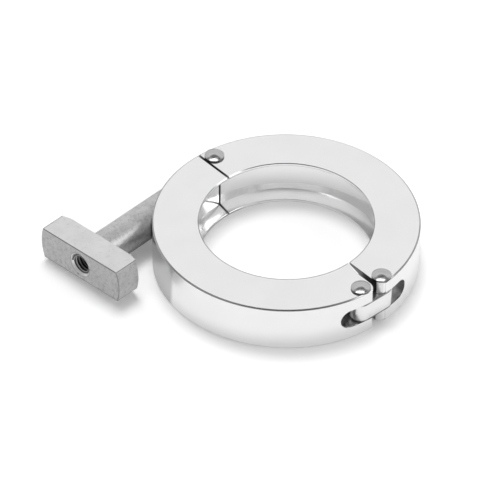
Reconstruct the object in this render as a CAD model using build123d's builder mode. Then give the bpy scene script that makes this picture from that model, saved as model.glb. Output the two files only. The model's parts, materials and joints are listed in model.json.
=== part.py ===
from build123d import *
import os
from math import cos, radians, sin, tan

# Hinged clamp for a pair of KF 40 (NW 40) vacuum flanges.
# Two grooved half rings share a hinge link, and a swing bolt with a tee nut draws
# the free ends together.  All lengths are in millimetres, angles in degrees.
# Frame: +Z is the bore axis, z = 0 is the lower face, the hinge lies at -Y, the
# closure at +Y, and the tee nut points towards -X.

# ---- flange pair and groove ----
flange_od = 55.0            # rim of the standard flanges
groove_clearance = 0.35     # radial room outside the flange rims
groove_angle = 15.0         # taper of the flange backs and of the groove flanks
lip_depth = 3.6             # how far the lips reach in over the flanges
lip_land = 0.8              # straight land on each lip at the bore

# ---- ring ----
ring_height = 14.0
ring_wall = 9.15            # groove root to outer wall
rim_chamfer = 0.3
closure_gap = 0.5           # between the halves at the closure
hinge_gap = 1.6             # between the halves at the hinge
toe_overhang = 0.95         # the front half's inner lip reaches into the hinge gap
toe_length = 4.8

# ---- pins ----
pin_diameter = 3.5
pin_head_diameter = 5.5
pin_head_rim = 0.45         # straight edge of the head, below its dome
pin_dome_height = 0.85
pin_recess = 0.3            # lower end of each pin above the lower face
running_clearance = 0.05    # radial, between a turning bore and its pin or thread

# ---- hinge ----
front_ear = 3.3             # pin axis to the front half's end face
rear_ear = 2.7              # pin axis to the rear half's end face
rear_corner_radius = 2.0
hinge_slot_height = 6.0
hinge_slot_wall = 2.65      # left between the slot floor and the groove root
hinge_slot_run = 8.1        # slot end beyond each pin axis
link_width = 5.8
link_play = 0.8             # link flank to slot floor
link_end_play = 0.1         # link top and bottom to the slot walls

# ---- swing bolt and its slot ----
bolt_diameter = 5.9
bolt_reach = 41.0           # pin axis to the tip of the thread
bolt_tip_chamfer = 0.7
bolt_tilt = 4.5             # the bolt leans in towards the bore
eye_diameter = 8.4
eye_thickness = 6.0
eye_side_play = 0.2
eye_floor_play = 0.4
closure_ear = 2.8           # pin axis to the rear half's end face
closure_slot_wall = 1.15    # left between the slot floor and the groove root
closure_slot_run = 8.0      # slot beyond the pin axis, room for the bolt to swing back

# ---- tee nut and its pocket ----
barrel_diameter = 10.0
barrel_play = 0.4
barrel_length = 27.7
barrel_nose_chamfer = 0.6
seat_distance = 11.9        # pin axis to the flat the barrel pulls on
seat_gap = 4.9              # the nut is screwed back this far from the seat
head_diameter = 30.3
head_depth = 8.3
head_thickness = 10.0       # across the two milled flats
head_back_chamfer = 2.3     # turned chamfer on the barrel side of the disc
head_back_chamfer_angle = 18.0
head_front_chamfer = 0.15
head_roll = 2.6             # the head is turned slightly about the bolt
mouth_diameter = 7.3        # countersink at the front of the thread

# ---- derived ----
root_radius = flange_od / 2 + groove_clearance
bore_radius = root_radius - lip_depth
ring_radius = root_radius + ring_wall
root_height = lip_land + lip_depth * tan(radians(groove_angle))
mid = ring_height / 2
pin_radius = pin_diameter / 2
turning_radius = pin_radius + running_clearance
head_radius = pin_head_diameter / 2
dome_radius = (head_radius**2 + pin_dome_height**2) / (2 * pin_dome_height)

hinge_floor = root_radius + hinge_slot_wall
hinge_y = -(hinge_floor + link_play + link_width / 2)
front_pin_x = -front_ear
rear_pin_x = hinge_gap + rear_ear
link_height = hinge_slot_height - 2 * link_end_play

closure_floor = root_radius + closure_slot_wall
closure_pin_x = closure_gap / 2 + closure_ear
closure_pin_y = closure_floor + eye_floor_play + eye_diameter / 2
closure_slot_height = eye_thickness + 2 * eye_side_play

barrel_nose = seat_distance + seat_gap
head_back = barrel_nose + barrel_length
reach = 2 * ring_radius     # long enough to cut right through the ring

# The bolt plane stands on the closure pin: its Z runs along the bolt, its X points
# outwards, away from the bore.
tilt = radians(bolt_tilt)
roll = radians(head_roll)
bolt_plane = Plane(
    origin=(closure_pin_x, closure_pin_y, mid),
    x_dir=(-sin(tilt), cos(tilt), 0),
    z_dir=(-cos(tilt), -sin(tilt), 0),
)
nut_plane = Plane(
    origin=(closure_pin_x, closure_pin_y, mid),
    x_dir=(-sin(tilt) * cos(roll), cos(tilt) * cos(roll), -sin(roll)),
    z_dir=(-cos(tilt), -sin(tilt), 0),
)
nut_axis = Axis(nut_plane.origin, nut_plane.z_dir)
# the lathe's plane through the nut's axis: X is the radius, Y runs along the axis
turning_plane = Plane(
    origin=nut_plane.origin,
    x_dir=nut_plane.x_dir,
    z_dir=nut_plane.x_dir.cross(nut_plane.z_dir),
)
disc_radius = head_diameter / 2
head_back_chamfer_depth = head_back_chamfer * tan(radians(head_back_chamfer_angle))


def grooved_ring():
    """Turn the whole ring with its tapered groove, inside the open part."""
    with BuildSketch(Plane.XZ) as section:
        with BuildLine():
            Polyline(
                (bore_radius, 0),
                (ring_radius, 0),
                (ring_radius, ring_height),
                (bore_radius, ring_height),
                (bore_radius, ring_height - lip_land),
                (root_radius, ring_height - root_height),
                (root_radius, root_height),
                (bore_radius, lip_land),
                close=True,
            )
        make_face()
        rims = section.vertices().group_by(Axis.X)[-1]
        chamfer(rims, rim_chamfer)
    revolve(section.sketch, axis=Axis.Z)


def pin_holes(places):
    """Drill the pin holes straight through both ears."""
    with BuildSketch() as holes:
        with Locations(*places):
            Circle(pin_radius)
    extrude(holes.sketch, amount=ring_height, mode=Mode.SUBTRACT)


def hinge_slot():
    """Mill the round-ended slot for the link from the outside."""
    with BuildSketch(Plane.XZ.offset(hinge_floor)) as slot:
        with Locations(((front_pin_x + rear_pin_x) / 2, mid)):
            SlotOverall(rear_pin_x - front_pin_x + 2 * hinge_slot_run, hinge_slot_height)
    extrude(slot.sketch, amount=reach, mode=Mode.SUBTRACT)


def closure_slot():
    """Mill the round-ended slot for the bolt's eye from the outside."""
    left = closure_pin_x - (eye_diameter + closure_slot_height) / 2 - eye_floor_play
    right = closure_pin_x + closure_slot_run
    with BuildSketch(Plane.XZ.offset(-closure_floor)) as slot:
        with Locations(((left + right) / 2, mid)):
            SlotOverall(right - left, closure_slot_height)
    extrude(slot.sketch, amount=-reach, mode=Mode.SUBTRACT)


def open_channel(start, radius):
    """Cut a round-bottomed channel along the bolt, open to the outside."""
    with BuildSketch(bolt_plane.offset(start)) as channel:
        Circle(radius)
        with Locations((reach / 2, 0)):
            Rectangle(reach, 2 * radius)
    extrude(channel.sketch, amount=reach, mode=Mode.SUBTRACT)


# ---- front half: takes the link at one end and the bolt and nut at the other ----
with BuildPart() as front_half:
    grooved_ring()
    with BuildSketch():
        with BuildLine():
            ear_side = (front_pin_x + front_ear, hinge_y)
            ear_foot = (front_pin_x, hinge_y - front_ear)
            Polyline(
                ear_foot,
                (front_pin_x, -reach),
                (-reach, -reach),
                (-reach, reach),
                (-closure_gap / 2, reach),
                (-closure_gap / 2, 0),
                (toe_overhang, 0),
                (toe_overhang, -bore_radius),
                (front_pin_x + front_ear, -bore_radius - toe_length),
                ear_side,
            )
            RadiusArc(ear_side, ear_foot, front_ear)
        make_face()
    extrude(amount=ring_height, mode=Mode.INTERSECT)
    hinge_slot()
    closure_slot()
    open_channel(0, closure_slot_height / 2)
    open_channel(seat_distance, barrel_diameter / 2 + barrel_play)
    pin_holes([(front_pin_x, hinge_y)])
front_half.part.label = "front_half"

# ---- rear half: carries the rear hinge pin and the closure pin ----
with BuildPart() as rear_half:
    grooved_ring()
    with BuildSketch():
        with BuildLine():
            corner_top = (hinge_gap, hinge_y + front_ear - rear_ear - rear_corner_radius / 2)
            corner_foot = (hinge_gap + rear_corner_radius, corner_top[1] - rear_corner_radius)
            Polyline(
                corner_foot,
                (hinge_gap + rear_corner_radius, -reach),
                (reach, -reach),
                (reach, reach),
                (closure_gap / 2, reach),
                (closure_gap / 2, 0),
                (hinge_gap, 0),
                corner_top,
            )
            RadiusArc(corner_top, corner_foot, -rear_corner_radius)
        make_face()
    extrude(amount=ring_height, mode=Mode.INTERSECT)
    hinge_slot()
    closure_slot()
    pin_holes([(rear_pin_x, hinge_y), (closure_pin_x, closure_pin_y)])
rear_half.part.label = "rear_half"

# ---- hinge link: a bar with rounded ends, one bore at each pin ----
with BuildPart() as hinge_link:
    with BuildSketch(Plane.XY.offset(mid)):
        with Locations(((front_pin_x + rear_pin_x) / 2, hinge_y)):
            SlotCenterToCenter(rear_pin_x - front_pin_x, link_width)
        with Locations((front_pin_x, hinge_y), (rear_pin_x, hinge_y)):
            Circle(turning_radius, mode=Mode.SUBTRACT)
    extrude(amount=link_height / 2, both=True)
hinge_link.part.label = "hinge_link"

# ---- pins: a plain shank pressed into the ears, with a low domed head on top ----
pin_places = {
    "front_hinge_pin": (front_pin_x, hinge_y),
    "rear_hinge_pin": (rear_pin_x, hinge_y),
    "closure_pin": (closure_pin_x, closure_pin_y),
}
pins = {}
for pin_name, (pin_x, pin_y) in pin_places.items():
    with BuildPart() as pin:
        pin_plane = Plane(origin=(pin_x, pin_y, 0), x_dir=(1, 0, 0), z_dir=(0, -1, 0))
        with BuildSketch(pin_plane):
            with BuildLine():
                rim_point = (head_radius, ring_height + pin_head_rim)
                crown = (0, ring_height + pin_head_rim + pin_dome_height)
                Polyline(
                    crown,
                    (0, pin_recess),
                    (pin_radius, pin_recess),
                    (pin_radius, ring_height),
                    (head_radius, ring_height),
                    rim_point,
                )
                RadiusArc(crown, rim_point, dome_radius)
            make_face()
        revolve(axis=Axis((pin_x, pin_y, 0), (0, 0, 1)))
    pin.part.label = pin_name
    pins[pin_name] = pin

# ---- swing bolt: an eye on the closure pin with a threaded shank ----
with BuildPart() as swing_bolt:
    with BuildSketch(Plane.XY.offset(mid)):
        with Locations((closure_pin_x, closure_pin_y)):
            Circle(eye_diameter / 2)
    extrude(amount=eye_thickness / 2, both=True)
    with BuildSketch(bolt_plane):
        Circle(bolt_diameter / 2)
    extrude(amount=bolt_reach)
    tip = swing_bolt.faces().sort_by(nut_axis)[-1]
    chamfer(tip.edges(), bolt_tip_chamfer)
    with BuildSketch(Plane.XY.offset(mid)):
        with Locations((closure_pin_x, closure_pin_y)):
            Circle(turning_radius)
    extrude(amount=eye_thickness, both=True, mode=Mode.SUBTRACT)
swing_bolt.part.label = "swing_bolt"

# ---- tee nut: turned barrel and disc head in one piece, two flats milled on the head ----
with BuildPart() as tee_nut:
    with BuildSketch(turning_plane):
        with BuildLine():
            Polyline(
                (0, head_back),
                (disc_radius - head_back_chamfer, head_back),
                (disc_radius, head_back + head_back_chamfer_depth),
                (disc_radius, head_back + head_depth - head_front_chamfer),
                (disc_radius - head_front_chamfer, head_back + head_depth),
                (0, head_back + head_depth),
                close=True,
            )
        make_face()
    revolve(axis=nut_axis)
    with BuildSketch(nut_plane.offset(head_back)):
        Rectangle(head_diameter, head_thickness)
    extrude(amount=head_depth, mode=Mode.INTERSECT)
    with BuildSketch(nut_plane.offset(barrel_nose)):
        Circle(barrel_diameter / 2)
    extrude(amount=barrel_length)
    nose = tee_nut.faces().sort_by(nut_axis)[0]
    chamfer(nose.edges(), barrel_nose_chamfer)
    with BuildSketch(nut_plane.offset(barrel_nose)):
        Circle(bolt_diameter / 2 + running_clearance)
    extrude(amount=barrel_length + head_depth, mode=Mode.SUBTRACT)
    front = tee_nut.faces().sort_by(nut_axis)[-1]
    mouth = front.edges().filter_by(GeomType.CIRCLE).sort_by(SortBy.RADIUS)[0]
    chamfer(mouth, mouth_diameter / 2 - bolt_diameter / 2 - running_clearance)
tee_nut.part.label = "tee_nut"

os.makedirs("parts", exist_ok=True)
for piece in (front_half, rear_half, hinge_link, *pins.values(), swing_bolt, tee_nut):
    export_step(piece.part, f"parts/{piece.part.label}.step")
    print(piece.part.label, round(piece.part.volume, 1))
print("bore radius", bore_radius, "ring radius", ring_radius, "pins", front_pin_x, rear_pin_x, hinge_y)
print("closure pin", closure_pin_x, closure_pin_y)
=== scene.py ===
# %% [markdown]
# # A hinged flange clamp
# The frame holds the clamp's eight solids at their real size: two grooved half
# rings, a link, three pins, a swing bolt and a tee nut. This file gives them their
# metals, adds the screw threads that are too fine for the solids, and sets up a
# small pale studio. Everything is in metres.

# %% Load the frame
import json
import math

import bpy
from mathutils import Matrix, Vector


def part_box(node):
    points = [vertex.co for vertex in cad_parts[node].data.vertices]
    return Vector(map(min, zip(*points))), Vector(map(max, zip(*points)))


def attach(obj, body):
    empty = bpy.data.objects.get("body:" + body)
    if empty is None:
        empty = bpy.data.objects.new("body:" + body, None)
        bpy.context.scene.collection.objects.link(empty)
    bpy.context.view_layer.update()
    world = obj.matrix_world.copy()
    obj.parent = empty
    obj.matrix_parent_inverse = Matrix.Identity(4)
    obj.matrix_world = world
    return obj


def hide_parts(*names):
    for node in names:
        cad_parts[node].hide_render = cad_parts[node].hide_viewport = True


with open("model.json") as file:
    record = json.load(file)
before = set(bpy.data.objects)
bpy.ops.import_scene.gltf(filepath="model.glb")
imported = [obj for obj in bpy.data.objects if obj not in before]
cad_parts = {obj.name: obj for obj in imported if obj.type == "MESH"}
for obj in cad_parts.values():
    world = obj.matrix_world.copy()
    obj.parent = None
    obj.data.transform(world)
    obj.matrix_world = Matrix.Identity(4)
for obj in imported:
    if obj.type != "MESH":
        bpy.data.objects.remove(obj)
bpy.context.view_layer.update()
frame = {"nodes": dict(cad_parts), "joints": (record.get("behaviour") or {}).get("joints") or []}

print("nodes:", ", ".join(sorted(frame["nodes"])))

# %% [markdown]
# ## Sizes that the later steps share
# Every place comes from the frame: the ring's radius and height from its box, and
# the bolt's line from the joint that it swings on and the joint that the nut turns
# on. A new piece made from these fits the solids, whatever their size.

# %% Read the ring and the bolt's line
joints = {joint["name"]: joint for joint in frame["joints"]}
ring_low, ring_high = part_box("rear_half")
ring_radius = ring_high.y
ring_height = ring_high.z
bolt_start = Vector(joints["bolt_swing"]["pos_m"])
bolt_line = Vector(joints["nut_turn"]["axis"]).normalized()
print(f"ring radius {ring_radius * 1000:.2f} mm, height {ring_height * 1000:.2f} mm")

# %% [markdown]
# ## The camera
# A long lens from far away keeps the ring's ellipse nearly even, front to back. The
# camera's own axes are written out, so its place and its slight roll are exact.

# %% Set the camera
focal_length = 458.5
camera_distance = 1.6830
aim = Vector((-0.01189601, 0.00578233, 0.00995907))
camera_right = Vector((0.75097217, -0.66032471, 0.00347597))
camera_up = Vector((0.43398326, 0.497513, 0.7510921))
camera_back = camera_right.cross(camera_up)
camera_data = bpy.data.cameras.new("studio_camera")
camera_data.lens = focal_length
camera_data.sensor_width = 36
camera_data.clip_end = 20
camera = bpy.data.objects.new("studio_camera", camera_data)
turned = Matrix((camera_right, camera_up, camera_back)).transposed().to_4x4()
camera.matrix_world = Matrix.Translation(aim + camera_back * camera_distance) @ turned
bpy.context.scene.collection.objects.link(camera)
bpy.context.scene.camera = camera
print("camera at", [round(value, 3) for value in camera.matrix_world.translation])

# %% [markdown]
# ## A way to write shader sums
# A material's maths is easier to read as Python than as a chain of nodes. `Wire`
# holds a socket and adds a Math node whenever two wires, or a wire and a number,
# meet in an expression. `Finish` is one material with one method that adds any node.

# %% Define wires and finishes
class Wire:
    def __init__(self, finish, socket):
        self.finish = finish
        self.socket = socket

    def sum(self, operation, first, second=0.0):
        settings = {"operation": operation}
        return self.finish.node("ShaderNodeMath", settings, {0: first, 1: second})

    def __add__(self, other):
        return self.sum("ADD", self, other)

    def __radd__(self, other):
        return self.sum("ADD", other, self)

    def __sub__(self, other):
        return self.sum("SUBTRACT", self, other)

    def __rsub__(self, other):
        return self.sum("SUBTRACT", other, self)

    def __mul__(self, other):
        return self.sum("MULTIPLY", self, other)

    def __rmul__(self, other):
        return self.sum("MULTIPLY", other, self)

    def __pow__(self, other):
        return self.sum("POWER", self, other)

    def __abs__(self):
        return self.sum("ABSOLUTE", self)

    def least(self, other):
        return self.sum("MINIMUM", self, other)

    def most(self, other):
        return self.sum("MAXIMUM", self, other)


class Finish:
    def __init__(self, owner, shader="Principled BSDF"):
        owner.use_nodes = True
        self.owner = owner
        self.nodes = owner.node_tree.nodes
        self.links = owner.node_tree.links
        self.shader = self.nodes[shader]

    def node(self, kind, settings, inputs, output=0):
        made = self.nodes.new(kind)
        for name, value in settings.items():
            setattr(made, name, value)
        for name, value in inputs.items():
            if isinstance(value, Wire):
                self.links.new(value.socket, made.inputs[name])
            else:
                made.inputs[name].default_value = value
        return Wire(self, made.outputs[output])

    def place(self):
        return self.node("ShaderNodeTexCoord", {}, {}, "Object")

    def split(self, vector):
        parts = self.nodes.new("ShaderNodeSeparateXYZ")
        self.links.new(vector.socket, parts.inputs[0])
        return [Wire(self, parts.outputs[axis]) for axis in "XYZ"]

    def join(self, x, y, z):
        return self.node("ShaderNodeCombineXYZ", {}, {0: x, 1: y, 2: z})

    def noise(self, vector, scale, detail=2.0, roughness=0.5):
        inputs = {"Vector": vector, "Scale": scale, "Detail": detail}
        inputs["Roughness"] = roughness
        return self.node("ShaderNodeTexNoise", {}, inputs)

    def step(self, value, low, high):
        """0 below low and 1 above high, with a smooth rise between them."""
        settings = {"interpolation_type": "SMOOTHSTEP"}
        return self.node("ShaderNodeMapRange", settings, {0: value, 1: low, 2: high})

    def blend(self, share, first, second):
        settings = {"data_type": "RGBA"}
        return self.node("ShaderNodeMix", settings, {0: share, 6: first, 7: second}, 2)

    def bump(self, height, depth):
        inputs = {"Height": height, "Distance": depth, "Strength": 1.0}
        return self.node("ShaderNodeBump", {}, inputs)

    def along(self, vector, start, direction):
        """How far a place lies from start, measured in one direction."""
        settings = {"operation": "DOT_PRODUCT"}
        reach = self.node("ShaderNodeVectorMath", settings, {0: vector, 1: direction}, "Value")
        return reach - Vector(start).dot(Vector(direction))

    def window(self, value, low, high, soft):
        """1 where the value lies between low and high, fading to 0 over soft."""
        return self.step(value, low - soft, low) * (1 - self.step(value, high, high + soft))

    def set(self, **inputs):
        for name, value in inputs.items():
            socket = self.shader.inputs[name.replace("_", " ")]
            if isinstance(value, Wire):
                self.links.new(value.socket, socket)
            else:
                socket.default_value = value


def grey(level):
    return (level, level, level, 1)


print("shader helpers ready")

# %% [markdown]
# ## Rounded edges without geometry
# A real edge is never perfectly sharp: deburring leaves a round of a tenth or two
# of a millimetre, and that round is what draws the thin dark and bright lines along
# metal. A bump that falls away towards the edge tilts the reflection in the same
# way. `broken_edge` takes the distance to the edge and returns that height: flat
# up to the given width, and from there a slope of 45 degrees down to the edge.

# %% Define the broken edge
def broken_edge(distance, width):
    return (distance - width).least(0.0)


print("a broken edge slopes at 45 degrees")

# %% [markdown]
# ## Turned aluminium for the half rings
# Both halves are cut from one lathe-turned ring, so the tool marks run round the
# bore: rings on the flat faces, level lines on the walls. Noise read at (radius,
# height) is the same all the way round, which is what a lathe does. The slots, the
# saw cuts and the pocket are milled afterwards. They lie inside the ring's section,
# so a mask on radius and height finds them, and they get a duller, darker metal.
# The faces of the saw cuts are painted darker still, painted shade for the gaps
# between the halves. The upper edges are broken, and a thin dark line is painted
# along them and along the closure's cut: painted shade for the dark they mirror.

# %% Make the turned aluminium
mm = 0.001
groove_root = 27.85 * mm
bore = 24.25 * mm
lip_land = 0.8 * mm
rim = 0.15 * mm
closure_cut = 0.29 * mm
hinge_cut = 1.64 * mm
feather = 0.05 * mm
ring_mid = ring_height / 2
turned = Finish(bpy.data.materials.new("turned_aluminium"))
where = turned.place()
x, y, z = turned.split(where)
radius = (x * x + y * y) ** 0.5
level = abs(z - ring_mid)
across = turned.join(radius, z, 0.0)
tool_marks = turned.noise(across, 9000, 1.0)
wide_marks = turned.noise(across, 1300, 2.0)
handling = turned.noise(where, 90, 3.0, 0.6)
inside_height = 1 - turned.step(level, ring_mid - 0.09 * mm, ring_mid - 0.04 * mm)
wall_start, wall_end = groove_root + 0.1 * mm, ring_radius - 0.4 * mm
inside_wall = turned.window(radius, wall_start, wall_end, feather)
closure_side = turned.step(y, 0.0, mm)
hinge_side = 1 - turned.step(y, -mm, 0.0)
at_closure = turned.window(x, -closure_cut, closure_cut, 0.01 * mm) * closure_side
at_hinge = turned.window(x, -0.04 * mm, hinge_cut, 0.01 * mm) * hinge_side
saw_cut = (at_closure + at_hinge).least(1.0) * inside_height
slots = (inside_wall * inside_height).most(saw_cut)
milled_marks = turned.noise(turned.join(x * 0.1, y * 0.1, z), 4000, 1.5)


def edge_of_ring(edge_radius, edge_level):
    """How far a place in the ring's section lies from one of its corners."""
    return ((radius - edge_radius) ** 2 + (level - edge_level) ** 2) ** 0.5


edge_top = edge_of_ring(bore, ring_mid)
edge_lip = edge_of_ring(bore, ring_mid - lip_land)
edge_rim = (edge_of_ring(ring_radius - rim, ring_mid - rim) - rim).most(0.0)
nearest_edge = (edge_top - 0.05 * mm).least(edge_lip).least(edge_rim)
round_off = broken_edge(nearest_edge, 0.14 * mm)
skin = turned.blend(turned.step(handling, 0.3, 0.75), grey(0.93), grey(0.9))
# Painted shade: a thin dark line along the ring's upper edges.
edge_shade_line = 1 - turned.step(edge_top.least(edge_rim), 0.05 * mm, 0.18 * mm)
edge_shade_line = edge_shade_line * turned.step(z, ring_mid - mm, ring_mid + mm)
skin = turned.blend(edge_shade_line, skin, grey(0.4))
# Painted shade: both sides of the closure's cut are painted near black, so the gap reads wider
# and darker.
cut_edge_shade = turned.window(x, -0.36 * mm, 0.36 * mm, 0.06 * mm) * closure_side
skin = turned.blend(cut_edge_shade, skin, grey(0.12))
milled_skin = turned.blend(milled_marks, grey(0.72), grey(0.92))
skin = turned.blend(slots, skin, milled_skin)
# Painted shade: the saw-cut faces are painted dark, near black at the closure and mid grey at
# the hinge.
closure_face_shade = turned.blend(milled_marks, grey(0.13), grey(0.24))
skin = turned.blend(saw_cut, skin, turned.blend(at_hinge, grey(0.4), closure_face_shade))
fine_relief = tool_marks * 0.0000006 + wide_marks * 0.000001
turned.set(
    Base_Color=skin,
    Metallic=1.0,
    Roughness=0.1 + 0.05 * wide_marks + 0.03 * handling + 0.2 * slots,
    Normal=turned.bump(milled_marks * slots * 0.000004 + fine_relief + round_off, 1.0),
)
for name in ("front_half", "rear_half"):
    frame["nodes"][name].data.materials.clear()
    frame["nodes"][name].data.materials.append(turned.owner)
print("half rings:", turned.owner.name)

# %% [markdown]
# ## Milled aluminium for the link
# The link is a short bar sawn and milled from plate. Its marks run straight along
# it, and it is a little duller than the rings. A dark band is painted along its
# lower edge and a fainter one along its upper edge: painted shadow in the narrow
# gaps between the link and its slot.

# %% Make the milled aluminium
milled = Finish(bpy.data.materials.new("milled_aluminium"))
where = milled.place()
x, y, z = milled.split(where)
milling = milled.noise(milled.join(x * 0.08, y, z), 5000, 1.5)
link_low, link_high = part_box("hinge_link")
# Painted shadow: dark bands along the link's lower edge and, fainter, its upper edge.
low_edge = 1 - milled.step(z, link_low.z + 0.45 * mm, link_low.z + 0.7 * mm)
high_edge = milled.step(z, link_high.z - 0.3 * mm, link_high.z - 0.08 * mm)
link_edge_shadow = (low_edge + high_edge * 0.5).least(1.0)
bright = milled.blend(milling, grey(0.88), grey(0.92))
milled.set(
    Base_Color=milled.blend(link_edge_shadow * 0.85, bright, grey(0.06)),
    Metallic=1.0,
    Roughness=0.25 + 0.08 * milling,
    Normal=milled.bump(milling, 0.0000015),
)
print("link:", milled.owner.name)

# %% [markdown]
# ## Polished steel for the pins
# The domed heads are set with a polished snap, so they mirror the studio almost
# sharply: pale at the back, dark across the middle, bright in front. The straight
# edge under each dome is painted near black and made rougher: painted shade for
# the shadow line where the head sits on the ring.

# %% Make the polished steel
polished = Finish(bpy.data.materials.new("polished_steel"))
where = polished.place()
x, y, z = polished.split(where)
smears = polished.noise(where, 500, 3.0, 0.6)
# Painted shade: the rim under each dome is painted near black, for the shadow line under the
# head.
under_dome = polished.window(z, ring_height - mm, ring_height + 0.42 * mm, 0.08 * mm)
clean = polished.blend(smears, grey(0.46), grey(0.6))
polished.set(
    Base_Color=polished.blend(under_dome, clean, grey(0.1)),
    Metallic=1.0,
    Roughness=0.17 + 0.14 * smears + 0.2 * under_dome,
    Normal=polished.bump(smears, 0.00004),
)
for name in ("front_hinge_pin", "rear_hinge_pin", "closure_pin"):
    frame["nodes"][name].data.materials.clear()
    frame["nodes"][name].data.materials.append(polished.owner)
print("pins:", polished.owner.name)

# %% [markdown]
# ## Tumbled steel for the tee nut and the bolt
# The nut is tumbled after machining, which leaves a matt skin with a fine grain,
# faint clouds and small dark flecks. The turned barrel stays smoother than the
# head, so it mirrors the room in long soft bands. Light and shade are painted in
# too: the barrel's underside darker, the head's top face lighter and its front
# face a little darker, a dark line along the head's edges, the hole darker with
# depth and in its thread roots, and the countersink lighter. Each mask is a
# distance along the bolt's line, beside it or above it.

# %% Make the tumbled steel
head_back = 44.5 * mm
head_front = 52.8 * mm
disc_radius = 15.15 * mm
half_thickness = 5 * mm
head_roll = math.radians(2.6)
outwards = bolt_line.cross(Vector((0, 0, 1))).normalized()
nut_side = outwards * math.cos(head_roll) - Vector((0, 0, math.sin(head_roll)))
nut_up = bolt_line.cross(nut_side)
tumbled = Finish(bpy.data.materials.new("tumbled_steel"))
where = tumbled.place()
x, y, z = tumbled.split(where)
reach = tumbled.along(where, bolt_start, bolt_line)
side = tumbled.along(where, bolt_start, nut_side)
rise = tumbled.along(where, bolt_start, nut_up)
spread = (side * side + rise * rise) ** 0.5
on_head = tumbled.step(reach, head_back - 0.3 * mm, head_back + 0.05 * mm)
grain = tumbled.noise(where, 3500, 2.0, 0.6)
dents = tumbled.noise(where, 900, 2.5, 0.55)
clouds = tumbled.noise(where, 170, 4.0, 0.6)
flecks = tumbled.step(tumbled.noise(where, 1100, 1.5), 0.6, 0.7)
to_front = abs(reach - head_front)
to_flat = abs(abs(rise) - half_thickness)
to_rim = abs(spread - disc_radius)
nearest_two = to_front.least(to_flat)
farthest_two = to_front.most(to_flat)
edge = nearest_two.most(farthest_two.least(to_rim))
mouth_radius = 3.65 * mm
hole_radius = 3.05 * mm
mouth = ((spread - mouth_radius) ** 2 + (reach - head_front) ** 2) ** 0.5
round_off = broken_edge(edge.least(mouth), 0.25 * mm)
# Painted shade: a dark line along the head's edges.
head_edge_shade = 1 - tumbled.step(edge, 0.05 * mm, 0.3 * mm)
# Painted shade: the barrel is painted much darker towards its underside.
underside_shade = 1 - tumbled.step(z, 3.5 * mm, 7.6 * mm)
steel = tumbled.blend(tumbled.step(clouds, 0.3, 0.72), grey(0.53), grey(0.65))
steel = tumbled.blend(tumbled.step(grain, 0.4, 0.75) * 0.3, steel, grey(0.85))
dented = tumbled.blend(0.45, steel, grey(0.4))
steel = tumbled.blend(tumbled.step(dents, 0.3, 0.55), dented, steel)
steel = tumbled.blend(underside_shade * (1 - on_head), steel, grey(0.17))
# Painted light: the top face of the head is painted lighter than the rest of the nut.
on_top = tumbled.step(0 - rise, half_thickness - 0.35 * mm, half_thickness - 0.15 * mm)
on_top = on_top * on_head
top_face_light = tumbled.blend(clouds, grey(0.72), grey(0.92))
steel = tumbled.blend(on_top * (1 - head_edge_shade), steel, top_face_light)
steel = tumbled.blend(flecks * (0.4 - 0.28 * on_top), steel, grey(0.3))
# The head's edges are painted darker here, a painted shade.
steel = tumbled.blend(head_edge_shade * on_head * 0.7, steel, grey(0.22))
# Painted shade: the front face of the head is painted a little darker.
on_front = tumbled.step(reach, head_front - 0.12 * mm, head_front - 0.04 * mm)
steel = tumbled.blend(on_front * 0.12, steel, grey(0.0))
# Painted shade down the hole: dark in the thread roots and near black deeper in.
down_hole = (1 - tumbled.step(spread, 3.0 * mm, hole_radius)) * on_head
thread_root_shade = tumbled.blend(tumbled.step(spread, 2.52 * mm, 2.8 * mm), grey(0.5), grey(0.1))
hole_depth_shade = 1 - tumbled.step(reach, head_front - 4 * mm, head_front - mm)
hole_wall = tumbled.blend(hole_depth_shade * 0.85, thread_root_shade, grey(0.02))
steel = tumbled.blend(down_hole, steel, hole_wall)
# Painted highlight: the countersink is painted lighter, and it is made smoother as well.
countersink = tumbled.window(spread, hole_radius, 3.6 * mm, 0.03 * mm)
countersink = countersink * tumbled.window(reach, 52.1 * mm, 52.78 * mm, 0.01 * mm)
steel = tumbled.blend(countersink, steel, grey(0.78))
matt = 0.34 + 0.1 * on_head + 0.1 * clouds + 0.06 * dents
tumbled.set(
    Base_Color=steel,
    Metallic=1.0,
    Roughness=matt - 0.22 * countersink,
    Normal=tumbled.bump(grain * 0.00004 + dents * 0.0001 + round_off, 1.0),
)
frame["nodes"]["tee_nut"].data.materials.clear()
frame["nodes"]["tee_nut"].data.materials.append(tumbled.owner)
print("tee nut:", tumbled.owner.name)

# %% [markdown]
# ## Oiled steel for the screw threads
# The thread is a darker, oily steel. Its colour follows the distance from the
# bolt's own line: darker in the root and pale on the crest.

# %% Make the oiled steel
oiled = Finish(bpy.data.materials.new("oiled_steel"))
where = oiled.place()
reach = oiled.along(where, bolt_start, bolt_line)
side = oiled.along(where, bolt_start, outwards)
rise = oiled.along(where, bolt_start, Vector((0, 0, 1)))
spread = (side * side + rise * rise) ** 0.5
film = oiled.noise(where, 700, 3.0, 0.55)
crest = oiled.step(spread, 2.5 * mm, 2.95 * mm)
oiled.set(
    Base_Color=oiled.blend(crest, grey(0.3), oiled.blend(film, grey(0.52), grey(0.64))),
    Metallic=1.0,
    Roughness=0.22 + 0.14 * film,
    Normal=oiled.bump(film, 0.00001),
)
frame["nodes"]["swing_bolt"].data.materials.clear()
frame["nodes"]["swing_bolt"].data.materials.append(oiled.owner)
print("bolt:", oiled.owner.name)

# %% [markdown]
# ## Helpers for modelling
# A turned or threaded piece starts as one line, its profile, drawn in the plane
# that holds the axis. `draw_profile` makes a plane, merges it to one point and
# extrudes that point from corner to corner, as one would by hand. The Screw
# modifier then turns the line round the axis, and lifts it where it is a thread.

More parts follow.
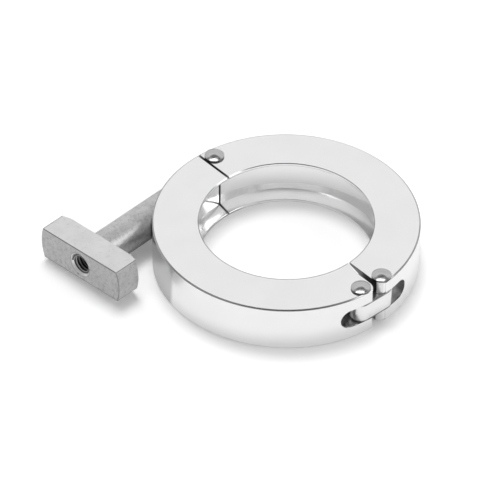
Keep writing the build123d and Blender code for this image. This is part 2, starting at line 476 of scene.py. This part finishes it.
# %% Define the profile helpers
def edit(piece, pick="VERT", test=None):
    """Open a piece for editing with only the parts selected whose place passes."""
    bpy.context.view_layer.objects.active = piece
    bpy.ops.object.mode_set(mode="EDIT")
    bpy.ops.mesh.select_mode(type=pick)
    bpy.ops.mesh.select_all(action="SELECT" if test is None else "DESELECT")
    if test is None:
        return
    bpy.ops.object.mode_set(mode="OBJECT")
    points = piece.data.vertices
    if pick == "VERT":
        for point in points:
            point.select = test(point.co)
    else:
        for line in piece.data.edges:
            line.select = test(*(points[end].co for end in line.vertices))
    bpy.ops.object.mode_set(mode="EDIT")


def stop_editing():
    bpy.ops.object.mode_set(mode="OBJECT")


def draw_profile(name, corners, closed):
    """A line through the (radius, height) corners, in the plane y = 0."""
    bpy.ops.object.select_all(action="DESELECT")
    bpy.ops.mesh.primitive_plane_add(size=mm, location=(0, 0, 0))
    piece = bpy.context.object
    piece.name = name
    edit(piece)
    bpy.ops.mesh.merge(type="CENTER")
    bpy.ops.transform.translate(value=(corners[0][0], 0, corners[0][1]))
    for before, after in zip(corners, corners[1:]):
        move = (after[0] - before[0], 0, after[1] - before[1])
        bpy.ops.mesh.extrude_region_move(TRANSFORM_OT_translate={"value": move})
    stop_editing()
    if closed:
        ends = [Vector((radius, 0, height)) for radius, height in (corners[0], corners[-1])]
        edit(piece, test=lambda place: min((place - end).length for end in ends) < 0.001 * mm)
        bpy.ops.mesh.edge_face_add()
        stop_editing()
    return piece


def shape(piece, kind, **settings):
    """Add a modifier, set it and apply it."""
    bpy.context.view_layer.objects.active = piece
    modifier = piece.modifiers.new(kind.lower(), kind)
    for name, value in settings.items():
        setattr(modifier, name, value)
    bpy.ops.object.modifier_apply(modifier=modifier.name)


def turn(piece, steps, pitch=0.0, turns=1):
    """Turn a profile about the Z axis, rising by one pitch a turn."""
    shape(piece, "SCREW", steps=steps, render_steps=steps, screw_offset=pitch, iterations=turns)
    edit(piece)
    bpy.ops.mesh.remove_doubles(threshold=0.002 * mm)
    stop_editing()


def close_up(piece):
    """Point all faces outwards."""
    edit(piece)
    bpy.ops.mesh.normals_make_consistent(inside=False)
    stop_editing()


print("profile helpers ready")

# %% [markdown]
# Every shape is modelled about the world's Z axis and then laid in its place, so a
# finished piece's object sits at the origin with its place in its mesh.

# %% Define how a piece is placed and finished
def lay_along(piece, start, axis_x, axis_z):
    columns = (axis_x, axis_z.cross(axis_x), axis_z)
    piece.matrix_world = Matrix.Translation(start) @ Matrix(columns).transposed().to_4x4()
    bpy.ops.object.select_all(action="DESELECT")
    piece.select_set(True)
    bpy.context.view_layer.objects.active = piece
    bpy.ops.object.transform_apply(location=True, rotation=True, scale=True)


def combine(piece, tool, operation):
    shape(piece, "BOOLEAN", operation=operation, object=tool, solver="EXACT")
    bpy.data.objects.remove(tool)


def join_on(piece, other):
    bpy.ops.object.select_all(action="DESELECT")
    other.select_set(True)
    piece.select_set(True)
    bpy.context.view_layer.objects.active = piece
    bpy.ops.object.join()


def dress(piece, finish, body):
    bpy.ops.object.select_all(action="DESELECT")
    piece.select_set(True)
    bpy.context.view_layer.objects.active = piece
    bpy.ops.object.shade_smooth_by_angle(angle=math.radians(32))
    piece.data.materials.clear()
    piece.data.materials.append(finish.owner)
    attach(piece, body)
    print(piece.name, "faces:", len(piece.data.polygons))


print("placing helpers ready")

# %% [markdown]
# ## The link
# The solid link is a plain bar. The real one has its long edges broken, and that
# thin slope, with the painted shadow along the link's edges, draws a dark line
# under it. A block gets full round ends by a wide bevel on its four upright edges,
# then a small bevel round its top and bottom. Two holes are cut last, so the
# bevels never meet them.

# %% Model the link
pin_hole = 1.8 * mm
link_size = link_high - link_low
link_middle = (link_low + link_high) / 2
bpy.ops.object.select_all(action="DESELECT")
bpy.ops.mesh.primitive_cube_add(size=1, location=link_middle, scale=link_size)
link = bpy.context.object
link.name = "link_bar"
bpy.ops.object.transform_apply(location=True, rotation=True, scale=True)
edit(link, "EDGE", lambda first, last: abs(first.z - last.z) > mm)
bpy.ops.mesh.bevel(offset=link_size.y * 0.499, segments=16, affect="EDGES")
bpy.ops.mesh.select_all(action="SELECT")
bpy.ops.mesh.remove_doubles(threshold=0.02 * mm)
stop_editing()
edit(link, "EDGE", lambda first, last: abs(first.z - last.z) < 0.01 * mm)
bpy.ops.mesh.bevel(offset=0.28 * mm, segments=2, affect="EDGES")
stop_editing()
for name in ("rear_hinge", "front_hinge"):
    pin_place = Vector(joints[name]["pos_m"])
    bpy.ops.object.select_all(action="DESELECT")
    bpy.ops.mesh.primitive_cylinder_add(
        vertices=48, radius=pin_hole, depth=20 * mm, location=pin_place
    )
    combine(link, bpy.context.object, "DIFFERENCE")
close_up(link)
dress(link, milled, "hinge_link")
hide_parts("hinge_link")

# %% [markdown]
# ## The swing bolt
# The solid bolt is a plain rod with an eye. The real one is threaded, M6, from just
# past the eye to the tip. Its thread is a low ridge that winds round a core: a
# flank up, a narrow crest and a flank down. The ridge is a closed outline, so the
# Screw modifier turns it into a closed form once its two ends are filled.

# %% Define how a thread is wound
pitch = 1.0 * mm


def wind_thread(name, root, crest, start, turns, steps):
    """A ridge from the root radius to the crest radius, one turn a pitch."""
    outline = [(root, 0.04), (crest, 0.42), (crest, 0.56), (root, 0.94)]
    corners = [(radius, start + share * pitch) for radius, share in outline]
    ridge = draw_profile(name, corners, closed=True)
    turn(ridge, steps, pitch, turns)
    edit(ridge)
    bpy.ops.mesh.fill_holes(sides=8)
    stop_editing()
    close_up(ridge)
    return ridge


# %% Turn the bolt's core and wind its thread
core, shank = 2.45, 2.9
tip = 41
bolt_outline = [(0, 2.3), (shank, 2.3), (shank, 8.2), (core, 8.65)]
bolt_outline += [(core, tip - 0.3), (core - 0.3, tip), (0, tip)]
bolt_corners = [(radius * mm, height * mm) for radius, height in bolt_outline]
swing_bolt = draw_profile("threaded_bolt", bolt_corners, closed=False)
turn(swing_bolt, 48)
close_up(swing_bolt)
bolt_thread = wind_thread(
    "bolt_thread", root=(core - 0.02) * mm, crest=2.93 * mm, start=8.3 * mm, turns=32, steps=24
)
for piece in (swing_bolt, bolt_thread):
    lay_along(piece, bolt_start, outwards, bolt_line)
print("threaded length:", round(bolt_thread.dimensions.x * 1000, 2), "mm")

# %% Add the eye and put the bolt together
lower_half = [(1.8, -3), (3.75, -3), (4.08, -2.87), (4.2, -2.55)]
eye_outline = lower_half + [(radius, -height) for radius, height in reversed(lower_half)]
eye_corners = [(radius * mm, height * mm) for radius, height in eye_outline]
eye = draw_profile("eye", eye_corners, closed=True)
turn(eye, 72)
close_up(eye)
lay_along(eye, bolt_start, Vector((1, 0, 0)), Vector((0, 0, 1)))
combine(swing_bolt, eye, "UNION")
join_on(swing_bolt, bolt_thread)
dress(swing_bolt, oiled, "swing_bolt")
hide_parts("swing_bolt")

# %% [markdown]
# ## The thread inside the tee nut
# The nut's bore is plain in the solids. Its thread is a low ridge that winds up the
# wall, seen in the mouth of the hole. The ridge is a closed triangle, turned like
# the bolt's thread, and it begins past the bolt's tip, so the two never touch.

# %% Model the thread of the nut
nut_thread = wind_thread(
    "nut_thread", root=3.04 * mm, crest=2.5 * mm, start=42 * mm, turns=10, steps=32
)
lay_along(nut_thread, bolt_start, outwards, bolt_line)
dress(nut_thread, tumbled, "tee_nut")

# %% [markdown]
# ## The studio
# A white table, a pale room and soft light from above and behind. The floor takes
# the object's soft shadow and stays white elsewhere. A small glow, seen by the
# camera and in the metal, lifts the table's paint to a clean white. Metal needs
# something dark to mirror, so a grey patch of painted shade lies left of the ring
# and another inside its bore. Only mirrored light sees them, so the table itself
# stays clean.

# %% Lay the floor
bpy.ops.object.select_all(action="DESELECT")
bpy.ops.mesh.primitive_plane_add(size=6, location=(0, 0, 0))
floor = bpy.context.object
floor.name = "floor"
up = Vector((0, 0, 1))
far_side = Vector((-camera_back.x, -camera_back.y, 0)).normalized()
right_side = Vector((camera_right.x, camera_right.y, 0)).normalized()
origin = Vector((0, 0, 0))
table_top = Finish(bpy.data.materials.new("white_table"))
seen = table_top.node("ShaderNodeLightPath", {}, {}, "Is Camera Ray")
mirrored = table_top.node("ShaderNodeLightPath", {}, {}, "Is Glossy Ray")
place = table_top.place()
to_right = table_top.along(place, origin, right_side)
to_far = table_top.along(place, origin, far_side)
# Painted shade on the table, seen only in reflections: a patch left of the ring and one in its
# bore.
beyond = (to_right + 30.9 * mm) * 0.4 + (to_far + 20.3 * mm) * 0.92
left_patch = table_top.step(beyond, 0.0, 1.5 * mm)
left_patch = left_patch * (1 - table_top.step(to_right, -20 * mm, -14 * mm))
left_patch = left_patch * table_top.step(to_right, -50 * mm, -46 * mm)
from_middle = (to_right * to_right + to_far * to_far) ** 0.5
bore_patch = 1 - table_top.step(from_middle, 24 * mm, 25 * mm)
bore_patch = bore_patch * (1 - table_top.step(to_right, -14 * mm, -10 * mm))
shade = 1 - 0.38 * left_patch.most(bore_patch)
mirrored_glow = table_top.blend(shade, grey(0.0), grey(0.34))
mirrored_paint = table_top.blend(shade, grey(0.0), grey(0.6))
glow = table_top.blend(seen, table_top.blend(mirrored, grey(0.0), mirrored_glow), grey(0.17))
paint = table_top.blend(mirrored, grey(0.9), mirrored_paint)
table_top.set(Base_Color=paint, Roughness=0.9, Specular_IOR_Level=0.0)
table_top.set(Emission_Color=glow, Emission_Strength=1.0)
floor.data.materials.append(table_top.owner)
print("floor:", floor.dimensions[:])

# %% [markdown]
# ## The room
# Metal shows its room, so the room is drawn as a studio is hung: a wide pale panel
# behind, a narrow bright strip overhead, a bright box on the right, grey cloth low
# down on the near sides, and darkness between them. Each is a window on the
# direction looked in. The table gets a little less of the room than the metal
# mirrors, so the key light's shadow stays clear.

# %% Hang the room
world = bpy.data.worlds.new("studio_room")
bpy.context.scene.world = world
room = Finish(world, "Background")
looking = room.node("ShaderNodeTexCoord", {}, {}, "Generated")
far = room.along(looking, origin, far_side)
right = room.along(looking, origin, right_side)
rise = room.along(looking, origin, up)
box_way = (right_side * 0.82 + up * 0.54 - far_side * 0.18).normalized()
back_panel = room.window(rise, 0.08, 0.78, 0.1) * room.step(far, 0.15, 0.4)
overhead = room.window(far, -0.2, -0.04, 0.04) * room.window(right, -0.5, 0.3, 0.08)
overhead = overhead * room.step(rise, 0.5, 0.7)
side_box = room.step(room.along(looking, origin, box_way), 0.95, 0.975)
crown = room.window(rise, 0.75, 0.84, 0.02) * room.step(far, 0.15, 0.4)
low_cloth = room.window(rise, 0.05, 0.69, 0.03) * (1 - room.step(far, 0.15, 0.4))
brightness = 0.15 + 0.72 * back_panel + 0.4 * crown + 4.0 * overhead + 2.3 * side_box
brightness = brightness + 0.35 * low_cloth
outside = room.node("ShaderNodeLightPath", {}, {}, "Is Camera Ray")
mirrored = room.node("ShaderNodeLightPath", {}, {}, "Is Glossy Ray")
brightness = brightness * (0.7 + 0.3 * mirrored)
room.set(Color=grey(1.0), Strength=brightness + outside * (1 - brightness))
print("room hung")

# %% [markdown]
# ## The key light
# One soft sun stands high behind the object and a little to its left. It lights the
# table and casts the soft shadow towards the camera. It is kept out of reflections,
# where the room's own panels do the work.

# %% Set the key light
sun = bpy.data.lights.new("key", "SUN")
sun.energy = 1.6
sun.angle = math.radians(24)
key = bpy.data.objects.new("key", sun)
bpy.context.scene.collection.objects.link(key)
shining_from = up * 4 + far_side * 1.15 - right_side * 0.3
key.rotation_euler = shining_from.to_track_quat("Z", "Y").to_euler()
key.visible_glossy = False
print("key light from", [round(value, 2) for value in shining_from.normalized()])
bpy.context.scene.view_settings.view_transform = "Standard"
